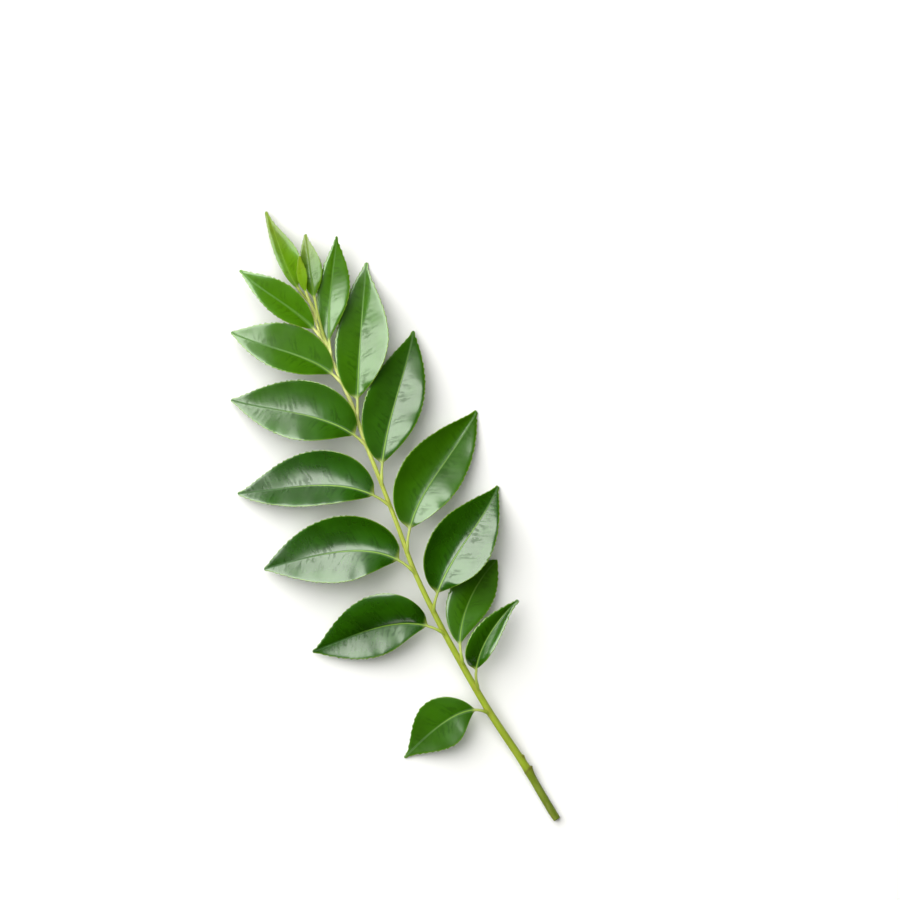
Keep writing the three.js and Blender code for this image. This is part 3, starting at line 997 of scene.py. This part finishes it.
leaf_under = lower_face("leaf_under", pale=(0.10, 0.215, 0.03), vein_colour=(0.24, 0.36, 0.07))
young_under = lower_face("young_leaf_under", pale=(0.20, 0.33, 0.04), vein_colour=(0.32, 0.44, 0.09))
for name, made in leaves.items():
    pair = (young_top, young_under) if name in YOUNG else (leaf_top, leaf_under)
    for finish in pair:
        made.data.materials.append(finish)

# %% [markdown]
# ## Stalk finishes
# The stalk's green is crossed by fine darker lines and paler blotches. Its scar and dry buds are brown, and
# there is a faint rusty tinge at every joint. The cut face shows a green ring of bark, pale wood and a
# darker middle that has begun to dry.

# %% Stalk and cut face
BROWN = (0.11, 0.085, 0.015)
JOINT_TINGE = (0.30, 0.18, 0.04)
BLOTCH = (0.45, 0.5, 0.1)
MIDDLE, WOOD, BARK = (0.20, 0.17, 0.06), (0.36, 0.36, 0.13), (0.13, 0.17, 0.015)  # of the cut face


def stalk_skin():
    made, tree, shader = material("stalk_skin")
    along, around, _ = stored(tree, "stalk_place")
    lines = use_group(tree, fibres, Along=along, Around=around)
    green = stalk_green(tree, along)
    darker = blend(tree, 0.5, green, BROWN)
    green = blend(tree, times(tree, ease(tree, lines["Lines"], 0.44, 0.62), 0.5), green, darker)
    green = blend(tree, times(tree, lines["Blotches"], 0.18), green, BLOTCH)
    green = blend(tree, times(tree, stored(tree, "joint"), 0.5), green, JOINT_TINGE)
    green = blend(tree, times(tree, stored(tree, "scar"), 0.8), green, BROWN)
    rough = calc(tree, "MULTIPLY_ADD", lines["Lines"], 0.2, 0.4)
    feed(tree, shader, Base_Color=green, Roughness=rough, IOR=1.45, Specular_IOR_Level=0.25,
         Normal=relief(tree, lines["Lines"], 0.12 * MM, 0.8))
    return made


def cut_face():
    made, tree, shader = material("stalk_cut")
    _, around, out = stored(tree, "stalk_place")
    lines = use_group(tree, fibres, Along=times(tree, out, 20.0), Around=around, Fineness=2.0)
    colour = blend(tree, ease(tree, out, 0.25, 0.5), MIDDLE, WOOD)
    colour = blend(tree, ease(tree, out, 0.82, 0.95), colour, BARK)
    colour = blend(tree, times(tree, lines["Lines"], 0.5), colour, BROWN)
    feed(tree, shader, Base_Color=colour, Roughness=0.75,
         Normal=relief(tree, lines["Lines"], 0.06 * MM, 0.7))
    return made


stalk.data.materials.append(stalk_skin())
stalk.data.materials.append(cut_face())

# %% [markdown]
# ## The floor
# The sprig lies on a plain pale table, with a hint of cloudiness so that it doesn't look like empty space.

# %% Floor
FLOOR_HALF = 4.0
floor = add_object("floor", bpy.data.meshes.new("floor"))
corners = [(x * FLOOR_HALF, y * FLOOR_HALF, 0) for x, y in ((-1, -1), (1, -1), (1, 1), (-1, 1))]
floor.data.from_pydata(corners, [], [(0, 1, 2, 3)])
floor_paper, tree, shader = material("floor_paper")
place = put(tree, "TexCoord").outputs["Object"]
cloud = put(tree, "TexNoise", {"Vector": place, "Scale": 12.0, "Detail": 3.0}).outputs[0]
paper = blend(tree, cloud, (0.81, 0.81, 0.78), (0.83, 0.825, 0.80))
feed(tree, shader, Base_Color=paper, Roughness=0.9, Specular_IOR_Level=0.1)
floor.data.materials.append(floor_paper)

# %% [markdown]
# ## Light
# Glossy leaves need two kinds of light, and here they are kept apart. A large key light to the upper left
# and an even larger fill that leans the same way make the colours and the soft shadows, but are left out of
# the gloss. A window where the key stands and a weak glow round it make only the gloss, slightly tinted. So
# the halves that face the window shine, and the other halves stay deep.

# %% Lights
WHITE, WAX_TINT = (1.0, 1.0, 1.0), (0.94, 1.0, 0.90)
WORLD_LIGHT = 0.06


def softbox(name, towards, from_vertical, distance, size, power, gloss=True, matt=True):
    """An area light aimed at the sprig, seen in its gloss, on its matt colours or in both; towards is the
    way it stands, in degrees left of the view's up."""
    data = bpy.data.lights.new(name, "AREA")
    data.shape = "RECTANGLE"
    data.size, data.size_y = size
    data.energy = power
    data.color = WHITE if matt else WAX_TINT
    made = add_object(name, data)
    turn = math.radians(towards) + VIEW_TURN
    lean = math.radians(from_vertical)
    way = Vector((-math.sin(turn) * math.sin(lean), math.cos(turn) * math.sin(lean), math.cos(lean)))
    made.location = way * distance
    made.rotation_euler = (-way).to_track_quat("-Z", "Y").to_euler()
    made.visible_glossy = gloss
    made.visible_diffuse = matt


softbox("key", 45, 42, 2.5, (3.2, 2.8), 90, gloss=False)
softbox("fill", 45, 22, 3.0, (5, 5), 105, gloss=False)
softbox("window", 45, 43, 2.5, (2.4, 2.25), 98, matt=False)
softbox("window_glow", 42, 44, 2.6, (3.6, 3.0), 10, matt=False)
world = bpy.data.worlds.new("world")
world.use_nodes = True
feed(world.node_tree, world.node_tree.nodes["Background"], Color=(*WHITE, 1), Strength=WORLD_LIGHT)
scene.world = world
world.cycles_visibility.glossy = False
scene.view_settings.view_transform = "Standard"

# %% [markdown]
# ## Handing the pieces over
# Every piece rides on the sprig's one body and stands for its plain solid, which is hidden.

# %% Ride and replace
for name, made in leaves.items():
    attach(made, "root")
    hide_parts(name)
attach(stalk, "root")
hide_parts("stem")
